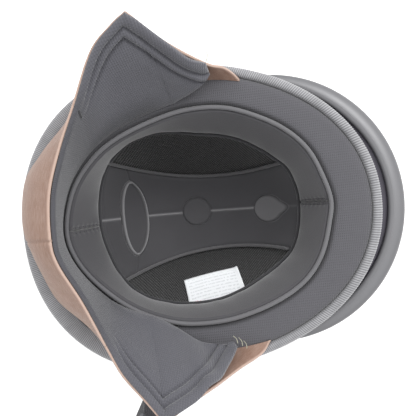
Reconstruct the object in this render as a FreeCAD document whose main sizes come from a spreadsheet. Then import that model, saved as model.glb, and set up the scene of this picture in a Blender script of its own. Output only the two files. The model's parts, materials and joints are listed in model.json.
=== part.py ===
"""Open-face riding helmet lying crown down: hard shell with a peak, padded lining,
leather neck curtain with two hinged ear flaps, and a two-piece chin strap.

Frame, in millimetres: the origin is the middle of the flattened crown, +Z points up out
of the head opening, +X points to the peak and +Y to the wearer's right.
"""

import FreeCAD, Part
import Sketcher
import math
import os

Vector = FreeCAD.Vector
Rotation = FreeCAD.Rotation
Placement = FreeCAD.Placement

doc = FreeCAD.newDocument("riding_helmet")

DIMENSIONS = {
    # shell: an egg, so the front half is longer than the rear half
    "rim_height": 150.0,
    "shell_front": 160.8,
    "shell_rear": 116.4,
    "shell_side": 118.0,
    "shell_wall": 3.0,
    "crown_cut": 3.0,
    "crown_extra": 3.0,
    "joint_gap": 0.2,
    # rim tape
    "tape_wall": 1.6,
    "tape_drop": 10.0,
    "tape_lap": 6.4,
    # peak: a circle whose middle lies in front of the crown
    "peak_middle": 77.0,
    "peak_radius": 102.0,
    "peak_wall": 4.0,
    "peak_drop": 20.0,
    "peak_start": 72.0,
    "roll_radius": 4.5,
    # foam liner and its cloth-faced rim
    "liner_wall": 27.6,
    "facing_wall": 1.2,
    # head band
    "band_wall": 6.0,
    "band_drop": 38.0,
    "piping_radius": 1.8,
    # crown lining
    "mesh_wall": 1.6,
    "pad_wall": 5.0,
    "pad_middle": 45.0,
    "pad_waist": 32.5,
    "pad_curve": 262.0,
    "bead_width": 2.4,
    "bead_wall": 6.6,
    "badge_place": -46.0,
    "badge_width": 22.0,
    "badge_length": 62.0,
    "badge_wall": 1.2,
    "label_length": 48.0,
    "label_width": 18.0,
    "label_turn": 12.4,
    "label_wall": 0.4,
    "label_forward": 25.0,
    "label_side": -72.0,
    # neck curtain: part of a cone that leans in over the nape
    "curtain_root": 111.0,
    "curtain_edge": 84.0,
    "curtain_height": 50.0,
    "curtain_start": 70.0,
    "leather_wall": 2.0,
    "padding_wall": 7.0,
    # ear flaps, drawn flat with the hinge line along their lower edge
    "flap_half": 62.0,
    "flap_length": 84.0,
    "flap_tip": 1.5,
    "flap_lean": 30.0,
    "flap_yaw": 6.4,
    "flap_middle": -4.0,
    "flap_out": 97.0,
    "flap_lift": 3.0,
    "flap_margin": 4.0,
    # chin strap
    "strap_width": 20.0,
    "strap_wall": 2.0,
    "strap_low": 8.0,
    "strap_top": 62.0,
    "strap_overlap": 4.0,
    "strap_place": -14.0,
    "tail_turn": 48.7,
    "tail_stand_off": 5.0,
    "tail_reach": 30.0,
    "tail_bend": 20.0,
    "tail_hang": 110.0,
    "ring_strap_length": 56.0,
    "ring_wire": 1.5,
    "ring_radius": 11.0,
    "ring_spacing": 4.4,
    "ring_room": 0.15,
    "loop_wall": 2.0,
    "loop_shoulder": 1.5,
    # webbing tabs inside the shell, and the rivets that hold them
    "anchor_inset": 11.0,
    "anchor_height": 35.0,
    "anchor_margin": 8.0,
    "anchor_drop": 1.0,
    "pocket_room": 2.0,
    "rivet_radius": 2.0,
    "rivet_head": 5.0,
    "rivet_spacing": 16.0,
    "rivet_drop": 22.0,
}

FAR = "300"  # beyond everything
TAIL_STEPS = 8  # straight pieces that make up the bend of the long strap

sheet = doc.addObject("Spreadsheet::Sheet", "dims")
for row, (alias, value) in enumerate(DIMENSIONS.items(), start=1):
    sheet.set(f"A{row}", alias)
    sheet.set(f"B{row}", str(value))
    sheet.setAlias(f"B{row}", alias)
doc.recompute()

subparts = []


def size(alias):
    """Value of one driving dimension."""
    return float(sheet.get(alias))


def bind(feature, **expressions):
    """Tie properties to the sheet; a double underscore in a name stands for a dot."""
    for name, expression in expressions.items():
        feature.setExpression(name.replace("__", "."), expression)
    return feature


def keep(feature, node):
    """Name a finished sub-part and list it for writing."""
    feature.Label = node
    subparts.append(feature)
    return feature


def cut(name, base, *tools):
    """Take each tool from the base in turn."""
    for number, tool in enumerate(tools):
        step = doc.addObject("Part::Cut", f"{name}_cut{number}")
        step.Base, step.Tool = base, tool
        base = step
    return base


def fuse(name, *shapes):
    whole = doc.addObject("Part::MultiFuse", f"{name}_fuse")
    whole.Shapes = list(shapes)
    whole.Refine = True
    return whole


def common(name, *shapes):
    shared = doc.addObject("Part::MultiCommon", f"{name}_common")
    shared.Shapes = list(shapes)
    return shared


def mirrored(feature, node):
    """The same piece on the wearer's other side."""
    copy = doc.addObject("Part::Mirroring", f"{node}_mirror")
    copy.Source = feature
    copy.Normal = Vector(0, 1, 0)
    return keep(copy, node)


def block(name, low, high):
    """Box between two corners, each given as three expressions."""
    box = doc.addObject("Part::Box", name)
    for axis, side in zip("xyz", ("Length", "Width", "Height")):
        index = "xyz".index(axis)
        box.setExpression(side, f"({high[index]}) - ({low[index]})")
        box.setExpression(f"Placement.Base.{axis}", low[index])
    return box


def drum(name, radius, middle, low="-10", height="200"):
    """Upright cylinder round a middle (x, y)."""
    cylinder = doc.addObject("Part::Cylinder", name)
    bind(cylinder, Radius=radius, Height=height, Placement__Base__x=middle[0],
         Placement__Base__y=middle[1], Placement__Base__z=low)
    return cylinder


def egg_dome(name, inset, floor, top="dims.rim_height"):
    """Solid lower half of an egg: a long front and a short rear half ellipsoid.

    inset is how far its sides lie inside the shell, floor the height of its lowest point.
    """
    halves = []
    for end, reach, turn in (("front", "dims.shell_front", -90), ("rear", "dims.shell_rear", 90)):
        half = doc.addObject("Part::Ellipsoid", f"{name}_{end}")
        half.Angle1, half.Angle2, half.Angle3 = -90, 0, 180
        half.Placement = Placement(Vector(), Rotation(Vector(0, 0, 1), turn))
        bind(half, Radius1=f"({top}) - ({floor})", Radius2=f"dims.shell_side - ({inset})",
             Radius3=f"{reach} - ({inset})", Placement__Base__z=top)
        halves.append(half)
    return fuse(name, *halves)


def ellipse(name, middle, length, side, height):
    """Level ellipse with its long axis from front to rear."""
    ring = doc.addObject("Part::Ellipse", name)
    bind(ring, MajorRadius=length, MinorRadius=side, Placement__Base__x=middle,
         Placement__Base__z=height)
    return ring


def cord_along(name, path, radius):
    """Round cord swept along an ellipse."""
    doc.recompute()
    edge = path.Shape.Edges[0]
    start, along = edge.valueAt(edge.FirstParameter), edge.tangentAt(edge.FirstParameter)
    profile = doc.addObject("Part::Circle", f"{name}_profile")
    profile.Placement = Placement(start, Rotation(Vector(0, 0, 1), along))
    bind(profile, Radius=radius)
    cord = doc.addObject("Part::Sweep", f"{name}_sweep")
    cord.Sections = [profile]
    cord.Spine = (path, ["Edge1"])
    cord.Solid = True
    cord.Frenet = True
    return cord


def plate(name, corners, thickness, placement):
    """Flat plate: a sketched outline with bound corners, padded and then placed."""
    body = doc.addObject("PartDesign::Body", name)
    sketch = body.newObject("Sketcher::SketchObject", f"{name}_outline")
    flat = next(o for o in body.Origin.OriginFeatures if o.Role == "XY_Plane")
    sketch.AttachmentSupport = [(flat, "")]
    sketch.MapMode = "FlatFace"
    guess = [Vector(evaluate(x), evaluate(y), 0) for x, y in corners]
    count = len(corners)
    for number in range(count):
        sketch.addGeometry(Part.LineSegment(guess[number], guess[(number + 1) % count]), False)
    for number in range(count):
        sketch.addConstraint(
            Sketcher.Constraint("Coincident", number, 2, (number + 1) % count, 1))
    for number, corner in enumerate(corners):
        for kind, expression, value in zip(("DistanceX", "DistanceY"), corner, guess[number]):
            place = sketch.addConstraint(Sketcher.Constraint(kind, -1, 1, number, 1, value))
            sketch.setExpression(f"Constraints[{place}]", expression)
    pad = body.newObject("PartDesign::Pad", f"{name}_pad")
    pad.Profile = sketch
    bind(pad, Length=thickness)
    body.Placement = placement
    return body


def evaluate(expression):
    """Number that an expression on the sheet gives."""
    return float(sheet.evalExpression(expression))


def add_shell():
    outside = egg_dome("shell_outside", "0", "-dims.crown_cut")
    inside = egg_dome("shell_inside", "dims.shell_wall", "dims.shell_wall")
    above_table = block("above_table", (f"-{FAR}", f"-{FAR}", "0"), (FAR, FAR, FAR))
    standing = common("shell_standing", outside, above_table)
    wall = cut("shell_wall", standing, inside)
    holes = fuse("rivet_holes", *(rivet_hole(side, step) for side in (-1, 1) for step in (-1, 1)))
    keep(cut("shell_drilled", wall, holes), "outer_shell")


def rivet_name(side, step):
    return f"rivet_{'left' if side < 0 else 'right'}_{'rear' if step < 0 else 'front'}"


def rivet_hole(side, step):
    """Clearance hole through everything between the head opening and the outside."""
    return rivet_rod(f"{rivet_name(side, step)}_hole", side, step,
                     "dims.rivet_radius + dims.joint_gap / 4", "dims.shell_side / 2",
                     "dims.shell_side")


def rivet_rod(name, side, step, radius, start, length):
    """Level cylinder across the side wall, start being its inner end's distance from y = 0."""
    rod = doc.addObject("Part::Cylinder", name)
    rod.Placement = Placement(Vector(), Rotation(Vector(1, 0, 0), -90 * side))
    bind(rod, Radius=radius, Height=length,
         Placement__Base__x=f"dims.strap_place + {step} * dims.rivet_spacing / 2",
         Placement__Base__y=f"{side} * ({start})",
         Placement__Base__z="dims.rim_height - dims.rivet_drop")
    return rod


def add_rivets():
    """Four rivets: a flat head outside the shell, a shank, and a clinched end inside."""
    back = "dims.anchor_inset + dims.strap_wall + dims.joint_gap"
    flange = "0.8 * dims.rivet_radius"
    rivets = []
    for side in (-1, 1):
        for step in (-1, 1):
            name = rivet_name(side, step)
            shank = rivet_rod(f"{name}_shank", side, step, "dims.rivet_radius",
                              f"dims.shell_side - ({back})", f"{back} + dims.joint_gap + {flange}")
            head = rivet_rod(f"{name}_head", side, step, "dims.rivet_head",
                             "dims.shell_side + dims.joint_gap", flange)
            clinch = rivet_rod(f"{name}_clinch", side, step, "0.8 * dims.rivet_head",
                               f"dims.shell_side - ({back}) - {flange}", flange)
            rivets.append(fuse(name, shank, head, clinch))
    group = doc.addObject("Part::Compound", "rivet_group")
    group.Links = rivets
    keep(group, "strap_rivets")


def add_strap_anchors():
    """Webbing tabs that the rivets hold against the inside of the shell."""
    reach = "(dims.rivet_spacing / 2 + dims.anchor_margin)"
    end = "dims.shell_side - dims.anchor_inset"
    top = "dims.rim_height - dims.anchor_drop"
    tab = block("anchor_tab",
                (f"dims.strap_place - {reach}", f"{end} - dims.strap_wall",
                 f"{top} - dims.anchor_height"),
                (f"dims.strap_place + {reach}", end, top))
    holes = [doc.getObject(f"{rivet_name(1, step)}_hole") for step in (-1, 1)]
    right = keep(cut("anchor_drilled", tab, *holes), "strap_anchor_right")
    mirrored(right, "strap_anchor_left")


def add_tape():
    """Ribbed tape folded over the shell's edge and lapped onto the rim of the foam."""
    top = "dims.rim_height + dims.tape_wall"
    outer = egg_dome("tape_outer", "-dims.tape_wall", "-3 * dims.crown_cut", top)
    inner = egg_dome("tape_inner", "dims.tape_lap", "dims.liner_wall", top)
    band = block("tape_band", (f"-{FAR}", f"-{FAR}", "dims.rim_height - dims.tape_drop"),
                 (FAR, FAR, top))
    ring = common("tape_ring", cut("tape_loop", outer, inner), band)
    gap = "dims.joint_gap / 4"
    helmet_edge = egg_dome("tape_slot", f"-{gap}", "-dims.crown_cut", f"dims.rim_height + {gap}")
    keep(cut("tape_folded", ring, helmet_edge), "rim_tape")


def add_peak():
    """Crescent peak with a thick rolled edge, standing off the front of the shell."""
    level = "dims.rim_height - dims.peak_drop"
    middle = ("dims.peak_middle", "0")
    clear_of_shell = egg_dome("peak_back", "-dims.joint_gap", "-dims.crown_cut")
    front = block("peak_front", ("dims.peak_start", f"-{FAR}", "0"), (FAR, FAR, FAR))
    disc = drum("peak_disc", "dims.peak_radius", middle, level, "dims.peak_wall")
    roll = doc.addObject("Part::Torus", "peak_roll")
    bind(roll, Radius1="dims.peak_radius", Radius2="dims.roll_radius",
         Placement__Base__x="dims.peak_middle",
         Placement__Base__z=f"{level} + dims.peak_wall / 2")
    crescent = common("peak_crescent", disc, front)
    keep(cut("peak_plate", crescent, clear_of_shell, roll), "peak")
    keep(common("peak_roll_free", cut("peak_roll_clear", roll, clear_of_shell), front),
         "peak_edge_roll")


def add_liner():
    """Foam bowl with pockets for the webbing tabs, and the cloth facing on its rim."""
    gap = "dims.shell_wall + dims.joint_gap"
    depth = f"{gap} + dims.liner_wall"
    rim = "dims.rim_height - dims.joint_gap / 2"
    outer = egg_dome("liner_outer", gap, gap, rim)
    inner = egg_dome("liner_inner", depth, f"{depth} + dims.crown_extra", rim)
    reach = "(dims.rivet_spacing / 2 + dims.anchor_margin + dims.pocket_room)"
    top = "dims.rim_height - dims.anchor_drop - dims.pocket_room"
    far, near = "dims.shell_side", "dims.shell_side - dims.anchor_inset - 3 * dims.strap_wall"
    pockets = [
        block(f"liner_pocket_{word}",
              (f"dims.strap_place - {reach}", low, f"{top} - dims.anchor_height"),
              (f"dims.strap_place + {reach}", high, "dims.rim_height + dims.pocket_room"))
        for word, low, high in (("right", near, far), ("left", f"-({far})", f"-({near})"))]
    keep(cut("liner_bowl", outer, inner, *pockets), "foam_liner")

    top = "dims.rim_height + dims.facing_wall"
    edge = egg_dome("facing_outer", "dims.tape_lap + dims.joint_gap", "dims.crown_cut", top)
    hole = egg_dome("facing_inner", depth, depth, top)
    slab = block("facing_slab", (f"-{FAR}", f"-{FAR}", "dims.rim_height"), (FAR, FAR, top))
    keep(common("facing_ring", cut("facing_loop", edge, hole), slab), "rim_facing")
    return depth


def layer(name, start, wall, low, high):
    """Part of the bowl-shaped lining between two heights, from start to start + wall deep."""
    inside = f"{start} + {wall}"
    outer = egg_dome(f"{name}_outer", start, f"{start} + dims.crown_extra")
    inner = egg_dome(f"{name}_inner", inside, f"{inside} + dims.crown_extra")
    slab = block(f"{name}_slab", (f"-{FAR}", f"-{FAR}", low), (FAR, FAR, high))
    return common(name, cut(f"{name}_bowl", outer, inner), slab)


def add_head_band(depth):
    start = f"{depth} + dims.joint_gap"
    ring = layer("band_ring", start, "dims.band_wall", "dims.rim_height - dims.band_drop",
                 "dims.rim_height")
    for side, low, high in (("right", "dims.joint_gap", FAR),
                            ("left", f"-{FAR}", "-dims.joint_gap")):
        half = block(f"band_half_{side}", (f"-{FAR}", low, "0"), (FAR, high, FAR))
        keep(common(f"band_{side}", ring, half), f"headband_{side}")
    middle = "(dims.shell_front - dims.shell_rear) / 2"
    across = f"({start} + dims.band_wall / 2)"
    path = ellipse("piping_path", middle,
                   f"(dims.shell_front + dims.shell_rear) / 2 - {across}",
                   f"dims.shell_side - {across}",
                   "dims.rim_height + dims.facing_wall + dims.piping_radius + dims.joint_gap / 2")
    keep(cord_along("piping", path, "dims.piping_radius"), "headband_piping")


def add_crown_lining(depth):
    """Waisted crown pad with a bead along each side, and a mesh panel outside each bead."""
    start = f"{depth} + dims.joint_gap"
    ceiling = "dims.rim_height - dims.band_drop - dims.joint_gap"
    reach = "dims.pad_waist + dims.pad_curve"
    gap = "dims.joint_gap / 2"

    def side_drum(name, side, grow):
        return drum(name, f"dims.pad_curve + ({grow})", ("dims.pad_middle", f"{side} * ({reach})"))

    pad_layer = layer("pad_layer", start, "dims.pad_wall", "0", ceiling)
    pad_tools = [side_drum(f"pad_side_{side}", side, "0") for side in (-1, 1)]
    keep(cut("pad_waisted", pad_layer, *pad_tools), "crown_pad")

    beads = []
    for side, word in ((-1, "left"), (1, "right")):
        bead_layer = layer(f"bead_layer_{word}", start, "dims.bead_wall", "0", ceiling)
        strip = cut(f"bead_strip_{word}", side_drum(f"bead_drum_{word}", side, f"-{gap}"),
                    side_drum(f"bead_core_{word}", side, f"-{gap} - dims.bead_width"))
        beads.append(common(f"bead_{word}", bead_layer, strip))
        mesh_layer = layer(f"mesh_layer_{word}", start, "dims.mesh_wall", "0", ceiling)
        panel = side_drum(f"mesh_drum_{word}", side, f"-2 * {gap} - dims.bead_width")
        keep(common(f"mesh_{word}", mesh_layer, panel), f"mesh_lining_{word}")
    group = doc.addObject("Part::Compound", "bead_group")
    group.Links = beads
    keep(group, "crown_pad_piping")

    badge_layer = layer("badge_layer", f"{start} + dims.pad_wall + {gap}", "dims.badge_wall", "0",
                        ceiling)
    curve = "(dims.badge_length^2 / dims.badge_width + dims.badge_width) / 4"
    halves = [drum(f"badge_side_{side}", curve,
                   (f"dims.badge_place + {side} * ({curve} - dims.badge_width / 2)", "0"))
              for side in (-1, 1)]
    keep(common("badge_oval", badge_layer, *halves), "crown_pad_badge")

    label_layer = layer("label_layer", f"{start} + dims.mesh_wall + {gap}", "dims.label_wall", "0",
                        ceiling)
    patch = doc.addObject("Part::Box", "label_patch")
    bind(patch, Length="dims.label_length", Width="dims.label_width", Height="200")
    turn = Rotation(Vector(0, 0, 1), size("label_turn"))
    corner = Vector(-size("label_length") / 2, -size("label_width") / 2, 0)
    middle = Vector(size("label_forward"), size("label_side"), 0)
    patch.Placement = Placement(middle + turn.multVec(corner), turn)
    keep(common("label_cut", label_layer, patch), "size_label")


def add_neck_curtain():
    """Rear curtain: leather outside and padding inside, both leaning in over the nape."""
    base = "dims.rim_height + dims.tape_wall + 2 * dims.joint_gap"

    def cone(name, inset):
        shape = doc.addObject("Part::Cone", name)
        bind(shape, Radius1=f"dims.curtain_root - ({inset})", Placement__Base__z=base,
             Radius2=f"dims.curtain_edge - ({inset})", Height="dims.curtain_height")
        return shape

    rear = block("curtain_rear", (f"-{FAR}", f"-{FAR}", "0"), ("-dims.curtain_start", FAR, FAR))
    under = "dims.leather_wall + dims.joint_gap"
    for node, outer, inner in (
            ("neck_curtain_leather", "0", "dims.leather_wall"),
            ("neck_curtain_padding", under, f"{under} + dims.padding_wall")):
        wall = cut(f"{node}_wall", cone(f"{node}_outer", outer), cone(f"{node}_inner", inner))
        keep(common(f"{node}_part", wall, rear), node)


def flap_frame():
    """Placement of the right flap's drawing: X along the hinge, Y up the flap, Z inwards."""
    yaw = math.radians(size("flap_yaw"))
    lean = math.radians(size("flap_lean"))
    along = Vector(math.cos(yaw), math.sin(yaw), 0)
    out = Vector(-math.sin(yaw), math.cos(yaw), 0)
    up = Vector(0, 0, math.cos(lean)) + out * math.sin(lean)
    inward = along.cross(up)
    origin = Vector(size("flap_middle"), size("flap_out"), size("rim_height") + size("flap_lift"))
    return Placement(origin, Rotation(along, up, inward, "XYZ"))


def on_flap(offset):
    """The flap's frame, moved by offset along its own axes."""
    return flap_frame().multiply(Placement(offset, Rotation()))


def flap_outline(margin):
    """Corners of the flap, with its edges moved in by margin.

    The front edge runs nearly straight to the tip; the rear edge bulges out below it.
    """
    half = f"(dims.flap_half - {margin})"
    tip = f"(dims.flap_length - 1.6 * {margin})"
    root = f"{margin} / 2"
    return [(half, root), ("20", f"0.55 * {tip}"), ("-dims.flap_tip", tip),
            (f"-0.7 * {half}", f"0.83 * {tip}"), (f"-0.97 * {half}", f"0.55 * {tip}"),
            (f"-{half}", root)]


def add_ear_flaps():
    pieces = (
        ("ear_flap_leather", "0", "dims.leather_wall", -size("leather_wall")),
        ("ear_flap_padding", "dims.flap_margin", "dims.padding_wall", size("joint_gap")),
    )
    for name, margin, wall, offset in pieces:
        right = keep(plate(f"{name}_body", flap_outline(margin), wall,
                           on_flap(Vector(0, 0, offset))), f"{name}_right")
        mirrored(right, f"{name}_left")

    half = size("strap_width") / 2
    place = size("strap_place")
    low, high = size("strap_low"), size("strap_top")
    outline = [(str(x), str(y)) for x, y in ((place - half, low), (place + half, low),
                                             (place + half, high), (place - half, high))]
    under = -size("leather_wall") - size("joint_gap") - size("strap_wall")
    right = keep(plate("flap_webbing_body", outline, "dims.strap_wall",
                       on_flap(Vector(0, 0, under))), "flap_webbing_right")
    mirrored(right, "flap_webbing_left")


def strap_pivot():
    """Point on the outside of the right flap where the free strap hangs from its webbing."""
    stack = size("leather_wall") + 2 * size("joint_gap") + 2 * size("strap_wall")
    height = size("strap_top") - size("strap_overlap")
    return flap_frame().multVec(Vector(size("strap_place"), height, -stack))


def add_ring_strap():
    """Right strap: short webbing that hangs from the flap and holds two D rings."""
    pivot = strap_pivot()
    wall, width = size("strap_wall"), size("strap_width")
    length = size("ring_strap_length")
    webbing = doc.addObject("Part::Box", "ring_webbing")
    bind(webbing, Length="dims.strap_width", Width="dims.strap_wall",
         Height="dims.ring_strap_length")
    webbing.Placement = Placement(pivot + Vector(-width / 2, 0, -length), Rotation())
    spacing, wire = size("ring_spacing"), size("ring_wire")
    cover = wire + size("loop_wall")
    loop_width = width - 2 * size("loop_shoulder")
    loop = doc.addObject("Part::Box", "ring_loop")
    loop.Length, loop.Width, loop.Height = loop_width, 2 * spacing, 2 * cover
    middle = pivot + Vector(0, wall / 2, -length - cover)
    loop.Placement = Placement(middle - Vector(loop_width / 2, spacing, cover), Rotation())
    bores, rings = [], []
    for word, side in (("inner", -1), ("outer", 1)):
        bar = middle + Vector(0, side * spacing / 2, 0)
        across = Rotation(Vector(0, 1, 0), 90)
        bore = doc.addObject("Part::Cylinder", f"ring_bore_{word}")
        bore.Radius, bore.Height = wire + size("ring_room"), 2 * width
        bore.Placement = Placement(bar - Vector(width, 0, 0), across)
        bores.append(bore)
        rings.append((word, bar, across))
    strap = fuse("ring_strap", webbing, loop)
    keep(cut("ring_strap_bored", strap, *bores), "chin_strap_right")
    for word, bar, across in rings:
        rod = doc.addObject("Part::Cylinder", f"ring_bar_{word}")
        bind(rod, Radius="dims.ring_wire", Height="2 * dims.ring_radius")
        rod.Placement = Placement(bar - Vector(size("ring_radius"), 0, 0), across)
        bow = doc.addObject("Part::Torus", f"ring_bow_{word}")
        bow.Angle3 = 180
        bind(bow, Radius1="dims.ring_radius", Radius2="dims.ring_wire")
        bow.Placement = Placement(bar, Rotation(Vector(1, 0, 0), -90))
        ends = []
        for side in (-1, 1):
            ball = doc.addObject("Part::Sphere", f"ring_end_{word}_{side}")
            bind(ball, Radius="dims.ring_wire")
            ball.Placement = Placement(bar + Vector(side * size("ring_radius"), 0, 0), Rotation())
            ends.append(ball)
        keep(fuse(f"ring_{word}", rod, bow, *ends), f"d_ring_{word}")


def add_strap_tail():
    """Left strap: a long webbing tail that leaves the flap outwards and then hangs."""
    pivot = strap_pivot()
    pivot.y = -pivot.y
    wall = size("strap_wall")
    bend, reach, hang = size("tail_bend"), size("tail_reach"), size("tail_hang")

    def rib(radius_change):
        """Centre line of the strap in its own plane: slope, round bend, hanging run."""
        points = [Vector(radius_change * math.sqrt(0.5), radius_change * math.sqrt(0.5), 0)]
        corner = Vector(reach, -reach, 0)
        middle = corner - Vector(bend * math.sqrt(0.5), bend * math.sqrt(0.5), 0)
        for step in range(TAIL_STEPS + 1):
            angle = math.radians(45 * (1 - step / TAIL_STEPS))
            radius = bend + radius_change
            points.append(middle + Vector(radius * math.cos(angle), radius * math.sin(angle), 0))
        points.append(points[-1] + Vector(0, -hang, 0))
        return points

    outline = rib(wall / 2) + rib(-wall / 2)[::-1]
    corners = [(f"{p.x:.3f}", f"{p.y:.3f}") for p in outline]
    turn = math.radians(size("tail_turn"))
    out = Vector(-math.cos(turn), -math.sin(turn), 0)
    up = Vector(0, 0, 1)
    across = out.cross(up)
    start = pivot + out * size("tail_stand_off") - across * (size("strap_width") / 2)
    tail = plate("strap_tail", corners, "dims.strap_width",
                 Placement(start, Rotation(out, up, across, "XYZ")))
    keep(tail, "chin_strap_left")


add_shell()
add_rivets()
add_strap_anchors()
add_tape()
add_peak()
liner_depth = add_liner()
add_head_band(liner_depth)
add_crown_lining(liner_depth)
add_neck_curtain()
add_ear_flaps()
add_ring_strap()
add_strap_tail()
doc.recompute()

for feature in doc.Objects:
    if "Invalid" in feature.State or "Error" in feature.State:
        raise RuntimeError(f"{feature.Name} failed: {feature.State}")
for feature in subparts:
    if feature.Shape.isNull() or not feature.Shape.isValid() or not feature.Shape.Solids:
        raise RuntimeError(f"{feature.Label} has no valid shape")

os.makedirs("parts", exist_ok=True)
for feature in subparts:
    feature.Shape.exportStep(f"parts/{feature.Label}.step")
    box = feature.Shape.BoundBox
    print(f"{feature.Label:24s} {len(feature.Shape.Solids)} solid(s) "
          f"{feature.Shape.Volume / 1000:8.2f} cm3  x {box.XMin:.1f}..{box.XMax:.1f} "
          f"y {box.YMin:.1f}..{box.YMax:.1f} z {box.ZMin:.1f}..{box.ZMax:.1f}")
pivot = strap_pivot()
print(f"strap pivot {pivot.x:.2f} {pivot.y:.2f} {pivot.z:.2f}")
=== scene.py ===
import json
import math

import bmesh
import bpy
import numpy as np
from mathutils import Matrix, Vector


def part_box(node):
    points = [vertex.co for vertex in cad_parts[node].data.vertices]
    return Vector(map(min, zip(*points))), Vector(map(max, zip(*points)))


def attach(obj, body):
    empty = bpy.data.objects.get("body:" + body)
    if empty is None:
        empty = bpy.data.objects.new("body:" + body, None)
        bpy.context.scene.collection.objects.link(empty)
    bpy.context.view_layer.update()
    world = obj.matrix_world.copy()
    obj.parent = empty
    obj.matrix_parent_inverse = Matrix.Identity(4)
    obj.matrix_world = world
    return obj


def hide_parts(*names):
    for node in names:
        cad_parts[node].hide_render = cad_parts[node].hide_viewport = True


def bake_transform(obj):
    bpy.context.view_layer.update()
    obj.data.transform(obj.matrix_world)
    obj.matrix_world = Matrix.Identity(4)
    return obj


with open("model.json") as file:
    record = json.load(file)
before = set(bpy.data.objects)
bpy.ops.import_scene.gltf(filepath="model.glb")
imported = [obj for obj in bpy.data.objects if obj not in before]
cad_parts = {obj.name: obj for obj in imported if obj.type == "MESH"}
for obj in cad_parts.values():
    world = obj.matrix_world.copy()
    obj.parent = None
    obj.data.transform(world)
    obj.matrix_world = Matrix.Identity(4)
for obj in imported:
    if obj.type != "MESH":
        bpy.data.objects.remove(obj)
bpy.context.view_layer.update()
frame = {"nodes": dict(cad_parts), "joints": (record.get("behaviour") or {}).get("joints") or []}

# Lengths in this script are in millimetres until a mesh is made, then in metres.
MM = 0.001
TURN = 2 * math.pi
SIDES = ((1, "right"), (-1, "left"))


def corners(node):
    """Lowest and highest corner of a CAD node, in millimetres."""
    low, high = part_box(node)
    return np.array(low) / MM, np.array(high) / MM


shell_low, shell_high = corners("outer_shell")
FRONT, REAR, SIDE, RIM = shell_high[0], -shell_low[0], shell_high[1], shell_high[2]
LINING = FRONT - corners("headband_right")[1][0]  # how far inside the shell the lining starts
TAPE_LAP = 6.4  # how far the tape reaches over the facing in front
WIDER = 1.2  # and how much more, in shares of that, at the rear
PAD_INSET = LINING + 5.2  # how far inside the shell the crown pad's face lies
BOWL_FRONT = 156.6  # the lining stops a little short of the shell in front
PEAK_LEVEL = sum(c[2] for c in corners("peak_edge_roll")) / 2
PEAK_MIDDLE = 77.0  # middle of the peak's outline, from which its sections are turned
PEAK_REACH = corners("peak_edge_roll")[1][0] - PEAK_MIDDLE
JOINTS = {joint["name"]: joint for joint in frame["joints"]}


# ---- curves

def egg(angle, inset=0.0):
    """Plan outline of the shell in direction angle, moved in by inset."""
    cosine, sine = np.cos(angle), np.sin(angle)
    power = np.where(cosine > 0, 2.08, 2.16)
    reach = np.where(cosine > 0, FRONT, REAR) - inset
    radius = ((abs(cosine) / reach) ** power + (abs(sine) / (SIDE - inset)) ** power) ** (-1 / power)
    return np.stack([radius * cosine, radius * sine], -1)


def through(knots):
    """Fine Catmull-Rom line through a few chosen points, the outer two being guides only."""
    fine = []
    for a, b, c, d in zip(knots, knots[1:], knots[2:], knots[3:]):
        t = np.linspace(0, 1, 24, endpoint=False)[:, None]
        fine.append(0.5 * (2 * b + (c - a) * t + (2 * a - 5 * b + 4 * c - d) * t ** 2
                           + (3 * b - a - 3 * c + d) * t ** 3))
    return np.vstack(fine)


MIDDLE = 20.0  # middle of the head opening, from which its outlines are turned


def ring_through(points):
    """Closed outline through a few points, as a function of direction from the middle."""
    fine = through(np.array(points + points[:3], float)) - [MIDDLE, 0]
    heading = np.arctan2(fine[:, 1], fine[:, 0])
    order = np.argsort(heading)
    heading, radius = heading[order], np.linalg.norm(fine, axis=1)[order]

    def at(angle, grow=0.0):
        reach = np.interp(angle, heading, radius, period=TURN) + grow
        return np.stack([MIDDLE + reach * np.cos(angle), reach * np.sin(angle)], -1)
    return at


def heading_of(plan):
    return np.arctan2(plan[..., 1], plan[..., 0] - MIDDLE)


# Piping round the head opening, and the lower edge of the head band, seen from above.
piping_at = ring_through([
    (123, 3), (118.5, 22), (110, 42), (96, 58), (76, 71), (49, 81.5), (20, 83), (-8.5, 77),
    (-37.5, 66), (-58, 51.5), (-74.5, 29.5), (-82.5, 0), (-77, -24), (-60, -47), (-34, -68),
    (-2, -80.5), (31, -82), (60, -76), (84, -66), (101, -53.5), (113, -36), (120.5, -13)])
band_edge_at = ring_through([
    (105, 5), (102.5, 20), (97, 33), (87, 42.5), (76, 51), (60, 60.5), (43, 66), (25, 69),
    (5, 72.5), (-11, 73.5), (-27, 70.5), (-42, 63.5), (-54, 52.5), (-62, 38), (-67, 18),
    (-67.5, -4), (-63.5, -23), (-55, -44), (-40, -61.5), (-20, -70.5), (2, -74.5), (28, -73.5),
    (50, -67), (68, -58), (84, -48), (96, -36), (103, -17)])


def bowl(x, y, inset, lift=0.0):
    """Points of the bowl-shaped lining, inset inside the shell, raised by lift along its normal."""
    reach = np.where(x > 0, BOWL_FRONT, REAR) - inset
    side, depth = SIDE - inset, RIM - inset - 3
    fill = (x / reach) ** 2 + (y / side) ** 2
    shrink = np.sqrt(np.minimum(1, 0.9 / np.maximum(fill, 1e-9)))
    x, y, fill = x * shrink, y * shrink, np.minimum(fill, 0.9)
    z = RIM - depth * np.sqrt(1 - fill)
    normal = np.stack([-x / reach ** 2, -y / side ** 2, (RIM - z) / depth ** 2], -1)
    return np.stack([x, y, z], -1) + unit(normal) * np.asarray(lift)[..., None]


def around(count):
    """Directions of count points spaced evenly round a circle."""
    return np.linspace(0, TURN, count, endpoint=False)


def unit(vectors):
    """The same vectors with length 1."""
    return vectors / np.maximum(np.linalg.norm(vectors, axis=-1, keepdims=True), 1e-9)


def distance_along(line):
    """Distance of each point from the line's start, measured along the line."""
    return np.concatenate([[0], np.cumsum(np.linalg.norm(np.diff(line, axis=0), axis=1))])


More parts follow.
